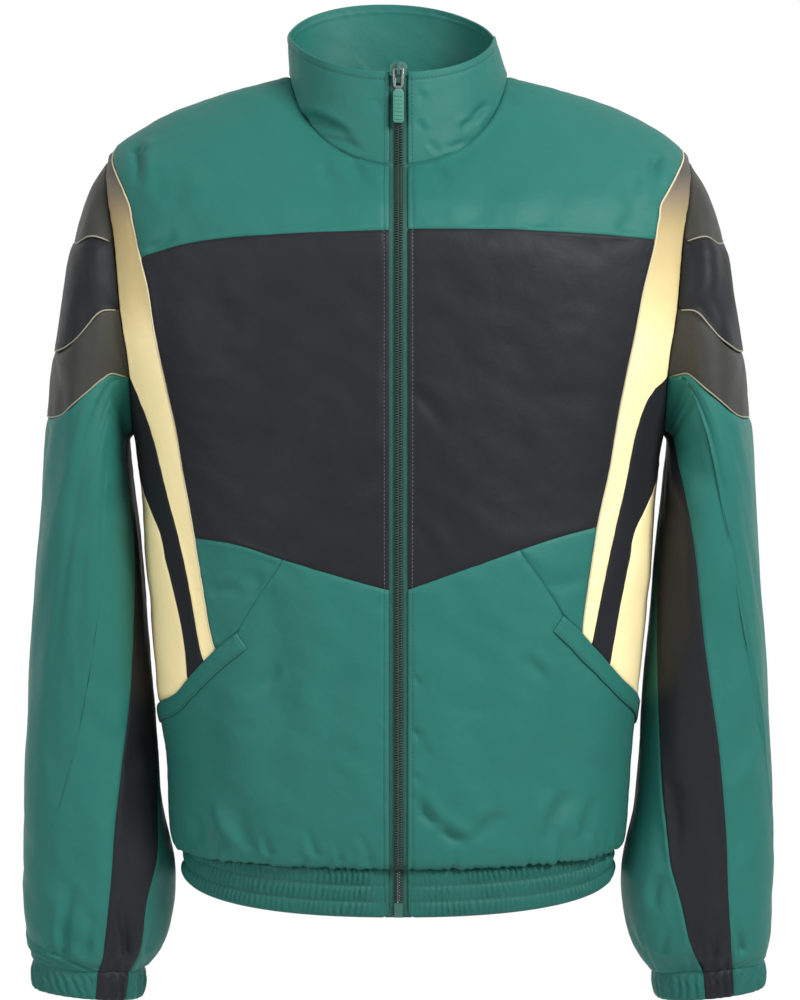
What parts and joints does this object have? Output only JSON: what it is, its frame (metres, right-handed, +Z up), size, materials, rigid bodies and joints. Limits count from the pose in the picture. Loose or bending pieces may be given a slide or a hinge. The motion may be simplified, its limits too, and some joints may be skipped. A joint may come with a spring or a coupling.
{
  "type": "track jacket",
  "caption": "Zip-front woven track jacket with a stand collar, colour-blocked panels, gathered hem band and cuffs.",
  "frame": {"origin": "centre of the neck opening, level with the side-neck points", "axes": "+Z up, -Y to the front, +X to the wearer's left"},
  "size_m": [0.6185, 0.2899, 0.816],
  "materials": {
    "green": "woven polyester, fine plain weave, soft sheen",
    "navy": "woven polyester, fine plain weave, soft sheen",
    "taupe": "woven polyester, fine plain weave, clear sheen",
    "yellow": "woven polyester, fine plain weave",
    "cream": "folded piping cloth",
    "tape": "woven zip tape",
    "chain": "moulded zip teeth",
    "metal": "plated die casting",
    "tab": "soft moulded rubber, ribbed"
  },
  "bodies": {
    "jacket": {"yoke_front_L": "green", "chest_L": "navy", "pocket_top_L": "green", "side_band_L": "yellow", "band_piping_L": "cream", "side_panel_L": "navy", "side_gusset_L": "yellow", "lower_front_L": "green", "pocket_welt_L": "green", "yoke_front_R": "green", "chest_R": "navy", "pocket_top_R": "green", "side_band_R": "yellow", "band_piping_R": "cream", "side_panel_R": "navy", "side_gusset_R": "yellow", "lower_front_R": "green", "pocket_welt_R": "green", "back": "green", "collar": "green", "hem_band": "green", "sleeve_cap_L": "taupe", "piping_1_L": "cream", "sleeve_dark_L": "navy", "piping_2_L": "cream", "sleeve_taupe_L": "taupe", "piping_3_L": "cream", "sleeve_L": "green", "under_sleeve_L": "navy", "cuff_L": "green", "cuff_dark_L": "navy", "sleeve_cap_R": "taupe", "piping_1_R": "cream", "sleeve_dark_R": "navy", "piping_2_R": "cream", "sleeve_taupe_R": "taupe", "piping_3_R": "cream", "sleeve_R": "green", "under_sleeve_R": "navy", "cuff_R": "green", "cuff_dark_R": "navy", "zip_tape_L": "tape", "zip_tape_R": "tape", "zip_chain": "chain", "zip_box": "metal", "zip_slider": "metal"},
    "pull": {"pull_link": "metal", "pull_tab": "tab"}
  },
  "joints": [
    {"name": "pull_swing", "type": "hinge", "parent": "jacket", "child": "pull", "pos_m": [0, -0.08544, 0.00979], "axis": [-1, 0, 0], "range_deg": [0, 150]}
  ]
}
